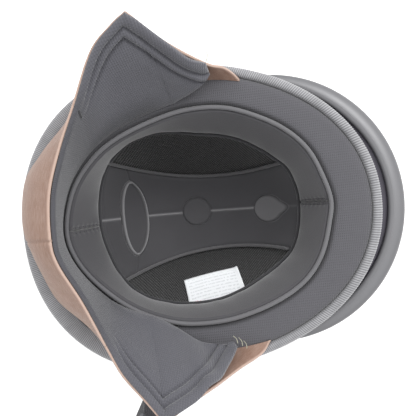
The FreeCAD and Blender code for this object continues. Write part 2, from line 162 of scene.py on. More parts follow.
def grid_of(along, across):
    """Grid of places, its columns spaced as along and its rows as across."""
    return np.stack(np.meshgrid(along, across), -1)


def spline(points, count):
    """Evenly spaced points on a smooth curve through a few chosen ones."""
    knots = np.array(points, float)
    padded = np.vstack([2 * knots[0] - knots[1], knots, 2 * knots[-1] - knots[-2]])
    return evenly(np.vstack([through(padded), knots[-1:]]), count)


def evenly(line, count):
    """The same line with count points spaced evenly along it."""
    along = distance_along(line)
    places = np.linspace(0, along[-1], count)
    return np.stack([np.interp(places, along, line[:, k]) for k in range(3)], 1)


def join(*lines):
    """Lines end to end, without the doubled point at each join."""
    return np.vstack([lines[0]] + [line[1:] for line in lines[1:]])


def level(plan, height):
    """Plan points lifted to a height."""
    return np.concatenate([plan, np.broadcast_to(height, plan.shape[:-1])[..., None]], -1)


def hill(distance, width):
    """Smooth hill of height 1 and the given half width."""
    return np.exp(-(distance / width) ** 2)


def ease(value, start, end):
    t = np.clip((value - start) / (end - start), 0, 1)
    return t * t * (3 - 2 * t)


def distance_to(points, line):
    """Distance of each point to a line of many short spans."""
    flat = points.reshape(-1, 3)
    best = np.full(len(flat), 1e9)
    for start, end in zip(line, line[1:]):
        span = end - start
        t = np.clip((flat - start) @ span / (span @ span), 0, 1)
        best = np.minimum(best, np.linalg.norm(flat - start - t[:, None] * span, axis=1))
    return best.reshape(points.shape[:-1])


# ---- meshes

def quads(rows, columns, tubular=False, closed=False, first=0):
    """Faces between rows of points; tubular joins the last row to the first, closed the columns."""
    index = np.arange(rows * columns).reshape(rows, columns) + first
    if tubular:
        index = np.vstack([index, index[:1]])
    if closed:
        index = np.hstack([index, index[:, :1]])
    sides = (index[:-1, :-1], index[:-1, 1:], index[1:, 1:], index[1:, :-1])
    return np.stack([side.ravel() for side in sides], 1).tolist()


def make(name, points, faces, material, uv=None, marks=None):
    """Smooth mesh object in metres with outward normals; uv is each point's place on the cloth."""
    points = np.asarray(points).reshape(-1, 3)
    mesh = bpy.data.meshes.new(name)
    mesh.from_pydata((points * MM).tolist(), [], faces)
    if marks is not None:
        values = np.asarray(marks, np.float32).ravel()
        mesh.attributes.new("mark", "FLOAT", "POINT").data.foreach_set("value", values)
    places = points[:, :2] if uv is None else np.asarray(uv).reshape(-1, 2)
    loops = np.zeros(len(mesh.loops), int)
    mesh.loops.foreach_get("vertex_index", loops)
    mesh.uv_layers.new(name="cloth").data.foreach_set("uv", (places[loops] * MM).ravel())
    form = bmesh.new()
    form.from_mesh(mesh)
    bmesh.ops.remove_doubles(form, verts=form.verts, dist=1e-6)
    bmesh.ops.recalc_face_normals(form, faces=form.faces)
    form.to_mesh(mesh)
    form.free()
    mesh.polygons.foreach_set("use_smooth", [True] * len(mesh.polygons))
    thing = bpy.data.objects.new(name, mesh)
    bpy.context.scene.collection.objects.link(thing)
    mesh.materials.append(material)
    return thing


def normals_of(grid):
    """Unit normals of a grid of points [row, column, xyz]."""
    return unit(np.cross(np.gradient(grid, axis=0), np.gradient(grid, axis=1)))


def slab(name, face, back, material, closed=False, uv=None, marks=None):
    """Closed piece between two grids of the same shape, its face and its back."""
    rows, columns = face.shape[:2]
    count = rows * columns
    faces = quads(rows, columns, closed=closed)
    faces += quads(rows, columns, closed=closed, first=count)
    index = np.arange(count).reshape(rows, columns)
    borders = [index[0], index[-1]]
    if closed:
        borders = [np.append(border, border[0]) for border in borders]
    else:
        borders += [index[:, 0], index[:, -1]]
    for border in borders:
        faces += [[a, b, b + count, a + count] for a, b in zip(border.tolist(), border[1:].tolist())]
    uv = face[..., :2] if uv is None else uv
    marks = None if marks is None else np.stack([marks, marks])
    return make(name, np.stack([face, back]), faces, material, np.stack([uv, uv]), marks)


def loft(name, grid, material, closed=True, uv=None, marks=None):
    """Closed piece whose rows go once round its cross-section."""
    rows, columns = grid.shape[:2]
    faces = quads(rows, columns, tubular=True, closed=closed)
    if not closed:
        faces += [list(range(end, rows * columns, columns)) for end in (0, columns - 1)]
    return make(name, grid, faces, material, uv, marks)


def rounded(share, power=8):
    """Thickness profile that is full in the middle and closes at both ends of 0 to 1."""
    return np.sqrt(np.clip(1 - abs(2 * share - 1) ** power, 0, 1))


def tube(name, path, radius, material, closed=False, sides=12):
    """Round cord along a path."""
    step = np.roll(path, -1, 0) - np.roll(path, 1, 0) if closed else np.gradient(path, axis=0)
    ahead = unit(step)
    across = unit(np.cross(ahead, (0.0, 0.0, 1.0)))
    over = np.cross(across, ahead)
    turns = around(sides)
    grid = np.stack([path + radius * (across * math.cos(a) + over * math.sin(a)) for a in turns])
    return loft(name, grid, material, closed=closed,
                uv=grid_of(distance_along(path), turns * radius))


def webbing(name, path, across, width, wall=1.7, rib=0.18):
    """Flat woven strap along a path, with rounded selvedges and ribs across it."""
    path = np.array(path, float)
    path = evenly(path, max(24, int(distance_along(path)[-1] / 0.55)))
    across = unit(np.array(across, float))
    over = unit(np.cross(unit(np.gradient(path, axis=0)), across))
    share = np.linspace(0, 1, 21)
    along = np.arange(len(path)) * np.linalg.norm(path[1] - path[0])
    weave = rib * np.sin(TURN * along / 2.2) * np.sin(TURN * 5 * share)[:, None]
    thick = (wall / 2 * rounded(share, 10))[:, None] * rounded(np.linspace(0, 1, len(path)), 200)
    sheet = path[None] + across * ((share - 0.5) * width)[:, None, None]
    lift = over[None] * (thick + np.where(thick > wall / 4, weave, 0))[..., None]
    return slab(name, sheet + lift, sheet - lift, WEBBING_FINISH,
                uv=grid_of(along, share * width))


def stitches(name, runs, length=2.0, gap=1.1, radius=0.3):
    """Thread stitches along runs, each a line of points and the normals to lift them along."""
    points, faces = [], []
    for line, normal in runs:
        count = max(2, int(distance_along(line)[-1] / (length + gap)))
        dense = evenly(line, 6 * count)
        # A trace of slope keeps equal normals apart, so that they can be spaced evenly.
        lifts = evenly(normal + np.linspace(0, 1e-6, len(normal))[:, None], 6 * count)
        for number in range(0, 6 * count, 6):
            part = dense[number:number + 5]
            up = unit(lifts[number + 2])
            across = np.cross(unit(part[-1] - part[0]), up)
            first = len(points)
            for place, arch in zip(part, (-0.4, 0.45, 0.7, 0.45, -0.4)):
                points += [place + radius * (up * arch + across * math.cos(a) + up * math.sin(a))
                           for a in around(6)]
            faces += quads(5, 6, closed=True, first=first)
            faces += [list(range(first, first + 6)), list(range(first + 24, first + 30))]
    return make(name, np.array(points), faces, THREAD_FINISH)


# ---- materials

class Shader:
    """Small builder for a procedural material."""

    def __init__(self, name, roughness, **inputs):
        self.material = bpy.data.materials.new(name)
        self.material.use_nodes = True
        self.nodes = self.material.node_tree.nodes
        self.links = self.material.node_tree.links
        self.surface = self.nodes["Principled BSDF"]
        self.surface.inputs["Roughness"].default_value = roughness
        for key, value in inputs.items():
            self.surface.inputs[key.replace("_", " ")].default_value = value
        self.height = None

    def node(self, kind, feeds=(), **settings):
        """A node with its settings; feeds gives sockets or plain values to its inputs."""
        node = self.nodes.new(kind)
        for key, value in settings.items():
            setattr(node, key, value)
        for key, feed in dict(feeds).items():
            if isinstance(feed, bpy.types.NodeSocket):
                self.links.new(feed, node.inputs[key])
            else:
                node.inputs[key].default_value = feed
        return node

    def math(self, operation, *feeds):
        return self.node("ShaderNodeMath", enumerate(feeds), operation=operation).outputs[0]

    def weigh(self, first, share, second, rest):
        """Sum of two values, each times its weight."""
        return self.math("MULTIPLY_ADD", first, share, self.math("MULTIPLY", second, rest))

    def mark(self):
        """The value painted on the mesh's points."""
        return self.node("ShaderNodeAttribute", attribute_name="mark").outputs["Fac"]

    def cloth(self):
        """Place on the cloth, in metres: two sockets, along and across."""
        self.place = self.node("ShaderNodeUVMap", uv_map="cloth").outputs[0]
        parts = self.node("ShaderNodeSeparateXYZ", {0: self.place})
        return parts.outputs[0], parts.outputs[1]

    def stretched(self, factor):
        """The place on the cloth, drawn out along the first direction."""
        feeds = {"Vector": self.place, "Scale": (1.0, factor, 1.0)}
        return self.node("ShaderNodeMapping", feeds).outputs[0]

    def solid(self):
        """Place in the piece, in metres."""
        return self.node("ShaderNodeTexCoord").outputs["Object"]

    def ribs(self, along, pitch, shift=0.0):
        """Waves from 0 to 1 with the given pitch in millimetres."""
        turn = self.math("MULTIPLY_ADD", along, TURN / (pitch * MM), shift)
        return self.math("MULTIPLY_ADD", self.math("SINE", turn), 0.5, 0.5)

    def noise(self, place, size, detail=3.0, roughness=0.6):
        """Noise whose patches are about size millimetres across."""
        feeds = {"Vector": place, "Scale": 1 / (size * MM), "Detail": detail,
                 "Roughness": roughness}
        return self.node("ShaderNodeTexNoise", feeds).outputs[0]

    def cells(self, place, size, feature="F1"):
        """Cells about size millimetres across."""
        feeds = {"Vector": place, "Scale": 1 / (size * MM)}
        return self.node("ShaderNodeTexVoronoi", feeds, feature=feature).outputs["Distance"]

    def mix(self, share, *colours):
        """Colour between two others, each a socket or three numbers."""
        first, second = (colour if isinstance(colour, bpy.types.NodeSocket) else (*colour, 1)
                         for colour in colours)
        feeds = {"Factor": share, 6: first, 7: second}
        return self.node("ShaderNodeMix", feeds, data_type="RGBA").outputs[2]

    def colour(self, socket):
        self.links.new(socket, self.surface.inputs["Base Color"])
        return self

    def raise_by(self, height, depth):
        """Bump of the given depth in millimetres, on top of any earlier one."""
        bump = self.node("ShaderNodeBump", {"Distance": depth * MM, "Height": height})
        if self.height is not None:
            self.links.new(self.height, bump.inputs["Normal"])
        self.height = bump.outputs[0]
        self.links.new(self.height, self.surface.inputs["Normal"])
        return self

    def rough(self, socket, low, high):
        self.links.new(self.math("MULTIPLY_ADD", socket, high - low, low),
                       self.surface.inputs["Roughness"])
        return self


def times(colour, factor):
    """The same colour, lighter or darker."""
    return tuple(value * factor for value in colour)


def knit(name, base, pitch, contrast, depth=0.35):
    """Fine knitted cloth, wales crossed by staggered rows; painted shade darkens it where the mark
    is 1.
    """
    shade = Shader(name, 0.85, Sheen_Weight=0.25, Sheen_Roughness=0.5)
    along, across = shade.cloth()
    wales = shade.ribs(along, pitch)
    loops = shade.ribs(across, pitch * 1.3, shade.math("MULTIPLY", wales, 1.6))
    weave = shade.weigh(loops, 0.45, wales, 0.55)
    tone = shade.weigh(shade.noise(shade.place, 18), 0.35, weave, 0.65)
    body = shade.mix(tone, times(base, 1 - contrast), times(base, 1 + contrast))
    shade.colour(shade.mix(shade.mark(), body, times(base, 0.4)))
    fluff = shade.noise(shade.place, 0.7, 2.0)
    return shade.raise_by(weave, depth).raise_by(fluff, depth * 0.4).material


def brushed(name, base, worn_and_highlit=None):
    """Brushed padding cloth with faint patches; the mark on the mesh is 1 where it is paler, cloth
    wear with a painted highlight on raised crests.
    """
    shade = Shader(name, 0.8, Sheen_Weight=0.35, Sheen_Roughness=0.45)
    shade.cloth()
    nap = shade.noise(shade.place, 0.9, 4.0, 0.7)
    tone = shade.weigh(shade.noise(shade.place, 22, 2.0), 0.6, nap, 0.4)
    body = shade.mix(tone, times(base, 0.82), times(base, 1.18))
    if worn_and_highlit:
        body = shade.mix(shade.mark(), body, worn_and_highlit)
    return shade.colour(body).raise_by(nap, 0.12).material


def open_mesh(name, base):
    """Open spacer mesh: dark holes between diagonal threads."""
    shade = Shader(name, 0.75, Sheen_Weight=0.2)
    along, across = shade.cloth()
    threads = [shade.ribs(shade.math(way, along, across), 2.1) for way in ("ADD", "SUBTRACT")]
    crossing = shade.math("POWER", shade.math("MAXIMUM", *threads), 2.2)
    shade.colour(shade.mix(crossing, times(base, 0.3), times(base, 1.35)))
    return shade.raise_by(crossing, 0.6).material


def grosgrain(name, base, light):
    """Ribbed tape: the mark on the mesh is 1 on a rib's crest and 0 in its groove, painting a
    highlight on the crests and shade in the grooves.
    """
    shade = Shader(name, 0.6, Sheen_Weight=0.3)
    shade.cloth()
    patches = shade.math("MULTIPLY_ADD", shade.noise(shade.place, 9, 2.0), 0.9, 0.35)
    shade.colour(shade.mix(shade.math("MULTIPLY", shade.mark(), patches), base, light))
    return shade.raise_by(shade.noise(shade.place, 0.5, 3.0), 0.08).material


def leather(name, base, worn_and_highlit, edge_light):
    """Aged full-grain leather; the mark on the mesh is 1 along its cut or folded edge."""
    shade = Shader(name, 0.55, Specular_IOR_Level=0.4)
    shade.cloth()
    grain = shade.cells(shade.place, 1.3, "DISTANCE_TO_EDGE")
    creases = shade.noise(shade.place, 3.5, 5.0, 0.7)
    clouds = shade.noise(shade.place, 16, 3.0)
    streaks = shade.noise(shade.stretched(6.0), 7, 4.0)
    patchy = shade.math("MULTIPLY_ADD", shade.weigh(streaks, 0.6, clouds, 0.4), 3.0, -1.0)
    body = shade.mix(patchy, base, worn_and_highlit)
    body = shade.mix(shade.math("MULTIPLY", creases, 0.35), body, times(base, 0.75))
    shade.colour(shade.mix(shade.mark(), body, edge_light))
    shade.raise_by(creases, 0.25).raise_by(shade.math("MINIMUM", grain, 0.25), 0.4)
    return shade.rough(clouds, 0.45, 0.7).material


def moulded(name, base, roughness, grain_size=0.6, depth=0.04, crest=None):
    """Satin moulded surface with a fine grain; the mark on the mesh is 1 where the crest colour is
    painted on as a highlight.
    """
    shade = Shader(name, roughness)
    place = shade.solid()
    marks = shade.noise(place, 25, 4.0)
    body = shade.mix(marks, times(base, 0.9), times(base, 1.12))
    if crest:
        body = shade.mix(shade.mark(), body, crest)
    shade.colour(body).raise_by(shade.noise(place, grain_size, 3.0), depth)
    return shade.rough(marks, roughness - 0.08, roughness + 0.1).material


def steel(name):
    """Plated wire, brushed along its length."""
    shade = Shader(name, 0.3, Metallic=1.0)
    streaks = shade.noise(shade.solid(), 0.8, 4.0)
    shade.colour(shade.mix(streaks, (0.5, 0.5, 0.51), (0.72, 0.72, 0.71)))
    return shade.rough(streaks, 0.2, 0.42).raise_by(streaks, 0.02).material


def beads(name):
    """Moulded expanded foam: packed beads."""
    shade = Shader(name, 0.9)
    packed = shade.cells(shade.solid(), 3.2)
    shade.colour(shade.mix(packed, (0.05, 0.05, 0.053), (0.03, 0.03, 0.032)))
    return shade.raise_by(packed, 0.5).material


def printed_label(name, length, width):
    """White satin label with rows of faint grey print and one pale red mark."""
    shade = Shader(name, 0.5, Sheen_Weight=0.2)
    along, across = shade.cloth()

    def product(first, *others):
        for other in others:
            first = shade.math("MULTIPLY", first, other)
        return first

    def block(left, right, low, high):
        """1 within a rectangle of the label, in millimetres, and 0 outside it."""
        return product(shade.math("GREATER_THAN", along, left * MM),
                       shade.math("LESS_THAN", along, right * MM),
                       shade.math("GREATER_THAN", across, low * MM),
                       shade.math("LESS_THAN", across, high * MM))

    text = product(shade.math("GREATER_THAN", shade.ribs(across, width / 10), 0.62),
                   shade.math("GREATER_THAN", shade.noise(shade.place, 1.6, 2.0), 0.46))
    satin = shade.ribs(along, 0.5)
    body = shade.mix(satin, (0.86, 0.88, 0.9), (0.93, 0.95, 0.97))
    rows = product(text, block(3, length - 4, 2, width - 2), 0.4)
    body = shade.mix(rows, body, (0.42, 0.44, 0.46))
    body = shade.mix(product(block(4, 11, 2, 7), text, 0.6), body, (0.85, 0.45, 0.5))
    return shade.colour(body).raise_by(satin, 0.05).material


def plain_floor():
    shade = Shader("floor_paper", 0.9)
    clouds = shade.noise(shade.solid(), 120, 2.0)
    return shade.colour(shade.mix(clouds, (0.97, 0.97, 0.97), (0.99, 0.99, 0.985))).material


SHELL_FINISH = moulded("shell_satin", (0.04, 0.041, 0.046), 0.4)
# The peak plate's base is dark and purplish as painted shade of the valley by the tape; the crest
# colour of plate and roll is a painted highlight.
PEAK_FINISH = moulded("peak_satin", (0.045, 0.040, 0.058), 0.45, 0.9, 0.05,
                      crest=(0.125, 0.125, 0.132))
ROLL_FINISH = moulded("peak_roll_satin", (0.075, 0.075, 0.081), 0.36, 0.9, 0.05,
                      crest=(0.125, 0.125, 0.132))
TAPE_FINISH = grosgrain("tape_grosgrain", (0.085, 0.085, 0.091), (0.28, 0.28, 0.292))
FACING_FINISH = knit("facing_knit", (0.057, 0.056, 0.0635), 1.5, 0.18)
BAND_FINISH = brushed("band_cloth", (0.041, 0.0398, 0.0445))
PIPING_FINISH = brushed("piping_cloth", (0.088, 0.087, 0.093))
BEAD_FINISH = brushed("bead_cloth", (0.070, 0.069, 0.073))
# The pad's pale colour is cloth wear and a painted highlight on its raised lines.
PAD_FINISH = brushed("crown_pad_cloth", (0.039, 0.038, 0.042), worn_and_highlit=(0.19, 0.188, 0.195))
MESH_FINISH = open_mesh("lining_mesh", (0.007, 0.007, 0.0074))
LEATHER_FINISH = leather("curtain_leather", (0.165, 0.088, 0.058), (0.265, 0.185, 0.15),
                         (0.36, 0.26, 0.215))
LINING_FINISH = knit("flap_lining", (0.060, 0.060, 0.071), 1.5, 0.24, 0.35)
WEBBING_FINISH = knit("strap_webbing", (0.05, 0.052, 0.06), 1.1, 0.3, 0.25)
THREAD_FINISH = brushed("dark_thread", (0.02, 0.02, 0.023))
PALE_THREAD = brushed("pale_thread", (0.30, 0.29, 0.22))
STEEL_FINISH = steel("plated_wire")
FOAM_FINISH = beads("foam_beads")


# ---- shell, tape and peak

def fit(thing, nodes=(), body="helmet"):
    """Hide the CAD nodes that a piece replaces and attach it to the body it rides on."""
    if nodes:
        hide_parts(*nodes)
    if body:
        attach(thing, body)
    return thing


def dome_wall(angles, inset, fall):
    """Rows of the shell's wall from the rim down to the crown, fall going from 0 to 1."""
    depth = RIM + 3 - inset
    rows = []
    for share in fall:
        swing = share * math.pi / 2
        height = RIM - depth * math.sin(swing)
        rows.append(level(egg(angles, inset) * math.cos(swing), max(height, inset)))
    return np.array(rows)


def make_shell():
    angles, fall = around(240), np.linspace(0, 0.9985, 60)
    shell = slab("outer_shell_skin", dome_wall(angles, 0.0, fall), dome_wall(angles, 3.0, fall),
                 SHELL_FINISH, closed=True, uv=grid_of(angles * SIDE, fall * RIM))
    fit(shell, ["outer_shell"])


def wider_behind(angles):
    """0 in front and 1 at the rear, where the tape is laid flatter and wider."""
    return ease(np.cos(angles), -0.15, -0.6)


def make_tape():
    """Grosgrain folded over the edge, each rib a real ridge across the tape."""
    ribs, samples = 520, 6
    angles = around(ribs * samples)
    crest = 0.5 + 0.5 * np.cos(ribs * angles)
    # Points of the tape's section: inset, height, and how much of a rib's height they have.
    section = [(-0.2, 140.0, 0), (-1.3, 140.2, 0.6), (-1.8, 145.0, 1), (-1.7, 148.6, 1),
               (-1.1, 150.6, 1), (0.4, 152.3, 1), (2.2, 153.1, 1), (4.0, 152.7, 1),
               (5.5, 151.4, 0.8), (TAPE_LAP - 0.3, 149.6, 0), (TAPE_LAP - 0.9, 149.3, 0),
               (4.0, 150.2, 0), (0.2, 150.1, 0)]
    rows, marks = [], []
    for inset, height, share in section:
        ridge = 0.28 * share * (crest - 0.5)
        outward = math.sqrt(1 - (max(0.0, RIM - height) / (RIM + 3)) ** 2)
        rear = wider_behind(angles) * (inset > 0)
        plan = egg(angles, inset * (1 + WIDER * rear)) * outward
        plan += ridge[:, None] * unit(plan) * (inset < 0)
        flat = rear * np.clip(151.9 - height, 0, 2) * (inset > 3)
        rows.append(level(plan, height + flat + ridge * (inset > -1.2)))
        # Painted highlight on the rib crests; painted shade in the grooves and on the lap tucked
        # under the edge.
        marks.append(crest * share)
    tape = loft("rim_tape_grosgrain", np.array(rows), TAPE_FINISH, marks=np.array(marks),
                uv=grid_of(angles * SIDE, np.arange(len(section)) * 2.0))
    fit(tape, ["rim_tape"])


def peak_span(swings):
    """For directions from the peak's middle: where the shell's wall ends and unit vectors."""
    way = np.stack([np.cos(swings), np.sin(swings)], 1)
    low, high = np.zeros(len(swings)), np.full(len(swings), 200.0)
    for _ in range(40):
        middle = (low + high) / 2
        place = np.array([PEAK_MIDDLE, 0]) + way * middle[:, None]
        outline = egg(np.arctan2(place[:, 1], place[:, 0]), -0.4)
        outline *= math.sqrt(1 - ((RIM - PEAK_LEVEL) / (RIM + 3)) ** 2)
        inside = np.linalg.norm(place, axis=1) < np.linalg.norm(outline, axis=1)
        low, high = np.where(inside, middle, low), np.where(inside, high, middle)
    return low, way


CREST_LEAN = 0.42  # how far the roll's crest lies towards the shell


def make_peak():
    """Crescent peak: a dished plate by the shell that swells into a soft rolled edge."""
    swings = np.radians(np.linspace(-93.5, 93.5, 240))
    wall, way = peak_span(swings)
    width = np.maximum(PEAK_REACH - wall, 0.6)
    size = np.clip(width / 20, 0.06, 1) ** 0.8
    half_width, half_height = 6.6 * size, 4.9 * size
    core = PEAK_REACH - half_width
    centre = np.array([PEAK_MIDDLE, 0])

    def at(radius, height):
        return level(centre + way * radius[:, None], height)

    roll, marks = [], []
    for turn in around(28):
        lean = CREST_LEAN * math.sin(turn)
        roll.append(at(core + half_width * (math.cos(turn) - lean),
                       PEAK_LEVEL + 0.6 + half_height * math.sin(turn)))
        # Painted highlight: the roll's upper half takes the paler crest colour.
        marks.append(np.full(len(swings), ease(math.sin(turn), 0.2, 1.0)))
    edge = loft("peak_edge_padding", np.array(roll), ROLL_FINISH, closed=False,
                marks=np.array(marks))
    fit(edge, ["peak_edge_roll"])

    top, under, marks = [], [], []
    crest = core - CREST_LEAN * half_width
    for share in np.linspace(0, 1, 30):
        radius = wall + (crest - wall) * share
        behind = np.clip((crest - radius) / (half_width * 0.6), 0, 1)
        flank = np.sqrt(1 - behind ** 2) * 0.98 + 0.02
        rise = half_height * np.maximum(ease(share, 0.76, 1.0), flank)
        dip = PEAK_LEVEL + 0.7 - 1.2 * size * (1 - share)
        top.append(at(radius, dip + rise))
        under.append(at(radius, dip - 1.9 * size))
        # Painted highlight towards the crest; nearer the shell the plate keeps its painted-shade
        # base.
        marks.append(np.full(len(radius), ease(share, 0.74, 0.94)))
    plate = slab("peak_plate", np.array(top), np.array(under), PEAK_FINISH,
                 marks=np.array(marks))
    fit(plate, ["peak"])


# ---- rim facing and head band

def make_facing():
    """Knitted cover of the foam's rim, slightly domed, tucked under tape and piping."""
    angles = around(480)
    outer = egg(angles, TAPE_LAP * (1 + WIDER * wider_behind(angles)) + 0.15)
    inner = piping_at(heading_of(outer), 1.2)
    face, back = [], []
    for share in 0.5 - 0.5 * np.cos(np.linspace(0, math.pi, 40)):
        plan = outer + (inner - outer) * share
        height = 149.8 + 3.0 * (1 - (1 - share) ** 16) * (1 - share ** 10) + 0.5 * math.sin(
            math.pi * share)
        face.append(level(plan, height))
        back.append(level(plan, height - 1.2))
    to_piping = np.linalg.norm(np.array(face)[..., :2] - inner, axis=-1)
    # The mark paints shade on the knit in the crease beside the piping.
    facing = slab("rim_facing_knit", np.array(face), np.array(back), FACING_FINISH,
                  closed=True, marks=0.9 * ease(to_piping, 5.0, 2.0))
    fit(facing, ["rim_facing"])


PIPING_LEVEL = 153.2


def band_edge_height(headings):
    """Height of the head band's lower edge, a little lower in front and behind."""
    return 111.0 - 10 * np.cos(headings) ** 2


SEAM = 2.6  # distance of the stitches from the ends of the band's halves
BAND_RUN = 275.0  # length of each half round the opening
BAND_TOP = PIPING_LEVEL - 2.3


def headband_half(side, word):
    """One padded half of the head band; gives the lines of stitches at its two seams."""
    rows, columns = 34, 220
    shares, down = np.linspace(0, 1, columns), np.linspace(0, 1, rows)
    brow, nape = 0.022 + side * 0.001, math.pi + 0.012 - (TURN if side < 0 else 0)
    headings = brow + (nape - brow) * (0.125 * (1 - np.cos(math.pi * shares)) + 0.75 * shares)
    top, low = piping_at(headings, -0.6), band_edge_at(headings)
    drop = BAND_TOP - band_edge_height(headings)
    grid = np.stack([level(top + (low - top) * share, BAND_TOP - drop * share) for share in down])
    normal = normals_of(grid)
    normal *= np.sign((([MIDDLE, 0, 130] - grid) * normal).sum(-1, keepdims=True))
    from_end = np.minimum(shares, 1 - shares) * BAND_RUN
    swell = 3.0 + np.sin(math.pi * down)[:, None] * np.minimum(1, from_end / 25)
    thick = swell * rounded(0.5 + 0.5 * down, 7)[:, None] * rounded(shares, 150)
    quilt = 0.3 * hill(from_end - 1.2, 0.8) - 1.3 * hill(from_end - SEAM, 1.0)
    ripple = 0.3 * np.sin(TURN * down * rows / 5)[:, None] * hill(from_end - SEAM, 2.5)
    creases = 0.25 * np.sin(headings * 23 + 5 * down[:, None]) * down[:, None] ** 2
    face = grid + normal * (thick + (quilt + ripple + creases) * (thick > 1.5))[..., None]
    back = grid - normal * thick[..., None] * 0.6
    half = slab(f"headband_{word}_pad", face, back, BAND_FINISH, uv=grid_of(shares * 280, down * 42))
    fit(half, [f"headband_{word}"])
    first = int(SEAM / BAND_RUN * columns)
    return [(face[3:-3, column] + normal[3:-3, column] * 0.1, normal[3:-3, column])
            for column in (first, columns - 1 - first)]


def make_head_band():
    """Two padded halves that meet in stitched seams at brow and nape, their hem and piping. The hem
    is a dark cord that also stands in for the shadow under the band's lower edge.
    """
    runs = headband_half(1, "right") + headband_half(-1, "left")
    fit(stitches("headband_stitching", runs))
    # The dark hem cord doubles as painted shadow under the band's lower edge.
    angles = around(300)
    line = level(band_edge_at(angles, -1.9), band_edge_height(angles) - 0.4)
    fit(tube("headband_hem_shadow_cord", line, 1.3, THREAD_FINISH, closed=True, sides=10))
    cord = tube("headband_piping_cord", level(piping_at(around(420)), PIPING_LEVEL), 1.65,
                PIPING_FINISH, closed=True, sides=14)
    fit(cord, ["headband_piping"])


# ---- crown lining

def pad_half(x):
    """Half width of the hourglass pad."""
    return 32.5 + (x - 45) ** 2 / 524


BADGE = dict(x=-42.5, y=1.6, half=34.0, width=10.8)
# Round dimples on the centre line: middle, radius, length of the point, how light its cloth is.
DIMPLES = ((13.0, 1.4, 12.4, 0.0, 0.06), (78.4, -1.6, 11.4, 4.2, 0.42))


def badge_width(y):
    share = np.clip(abs(y - BADGE["y"]) / BADGE["half"], 0, 1)
    return BADGE["width"] * (1 - share ** 2.3) ** 0.62


def pad_relief(x, y):
    """Height of the welded lines on the pad, and how pale they are painted: cloth wear, and a
    painted highlight on their crests.
    """
    seat = np.where(abs(x - BADGE["x"]) < badge_width(y) + 0.4, 0.0, 1.0)
    relief, light = np.zeros_like(x), np.zeros_like(x)
    clear = seat.copy()
    for middle_x, middle_y, radius, point, tone in DIMPLES:
        away = np.hypot(x - middle_x, y - middle_y)
        rim = radius + point * hill(np.arctan2(y - middle_y, x - middle_x), 0.33)
        inside = ease(away, rim + 0.4, rim - 0.8)
        relief += -1.5 * hill(away - rim - 0.5, 0.8) * (1 - inside) + 0.7 * inside
        light += tone * inside
        clear = clear * ease(away, rim + 0.5, rim + 1.5)
    relief += -2.2 * (1 - seat)
    line = y - 1.0 + 0.022 * (x - 13)
    front = ease(x, 86, 92)
    relief += clear * (1.3 * hill(line, 0.75) * (1 - front) - 0.9 * hill(line, 3.0))
    # Painted highlight, partly cloth wear, along the crest of the raised centre line.
    light += clear * hill(line, 0.95) * (1 - 0.8 * front) * ease(abs(x - 40), -60, 20)
    return relief, light


def make_crown_pad():
    """Waisted pad with welded lines, and a bead along each of its long edges."""
    x, share = np.linspace(-76, 110, 300), np.linspace(-1, 1, 161)
    half = pad_half(x)
    grid_x = np.broadcast_to(x, (len(share), len(x))).copy()
    grid_y = share[:, None] * (half - 0.8)
    relief, light = pad_relief(grid_x, grid_y)
    plan = np.stack([grid_x, grid_y], -1)
    to_band = (np.linalg.norm(band_edge_at(heading_of(plan)) - [MIDDLE, 0], axis=-1)
               - np.linalg.norm(plan - [MIDDLE, 0], axis=-1))
    ends = np.maximum(ease(grid_x, 50, 70), ease(grid_x, -40, -50))
    sunk = 5.0 * ease(to_band, 2.6, -0.4) * ends  # the pad's two ends slip under the band
    lift = 0.5 + relief - 2.4 * hill(half - abs(grid_y), 2.6) - sunk
    pad = slab("crown_pad_cushion", bowl(grid_x, grid_y, PAD_INSET, lift),
               bowl(grid_x, grid_y, PAD_INSET, -8.0), PAD_FINISH, marks=light)
    fit(pad, ["crown_pad"])
    for side, word in SIDES:
        run = np.linspace(-60, 97 if side > 0 else 91, 200)
        path = bowl(run, side * (pad_half(run) + 0.4), PAD_INSET, 0.5)
        fit(tube(f"crown_pad_bead_{word}", path, 1.35, BEAD_FINISH),
            ["crown_pad_piping"])


def make_badge():
    """Blank raised oval seated on the rear of the pad, with a rib round its edge."""
    across = np.linspace(-1, 1, 61)
    y = BADGE["y"] + BADGE["half"] * np.sin(np.linspace(-1, 1, 110) * math.pi / 2) * 0.998
    width = badge_width(y)
    grid_x = BADGE["x"] + across[:, None] * width
    grid_y = np.broadcast_to(y, grid_x.shape).copy()
    tips = BADGE["half"] - abs(grid_y - BADGE["y"])
    inside = np.minimum((1 - abs(across))[:, None] * width, tips)
    rib = hill(inside - 1.0, 0.95)
    face = bowl(grid_x, grid_y, PAD_INSET, 0.4 + 1.9 * rib - 0.9 * ease(inside, 1.5, 3.2))
    # The rib's crest is painted paler: a painted highlight, partly cloth wear.
    badge = slab("crown_pad_badge_plate", face, bowl(grid_x, grid_y, PAD_INSET, -3.0),
                 PAD_FINISH, marks=0.95 * rib)
    fit(badge, ["crown_pad_badge"])


def make_mesh_lining():
    """Fluted mesh panels beside the pad."""
    run, reach = np.linspace(-70, 108, 110), np.linspace(0, 1, 50)[:, None]
    far = np.sqrt(np.clip(1 - ((run - 19) / 96) ** 2, 0.02, 1)) * 84
    near = pad_half(run) - 3
    for side, word in SIDES:
        grid_y = side * (near + np.maximum(far - near, 2) * reach)
        grid_x = np.broadcast_to(run, grid_y.shape).copy()
        flutes = 0.25 * np.sin(TURN * grid_x / 6)
        panel = slab(f"mesh_panel_{word}", bowl(grid_x, grid_y, LINING + 2.0, flutes),
                     bowl(grid_x, grid_y, LINING + 2.0, flutes - 1.2), MESH_FINISH)
        fit(panel, [f"mesh_lining_{word}"])


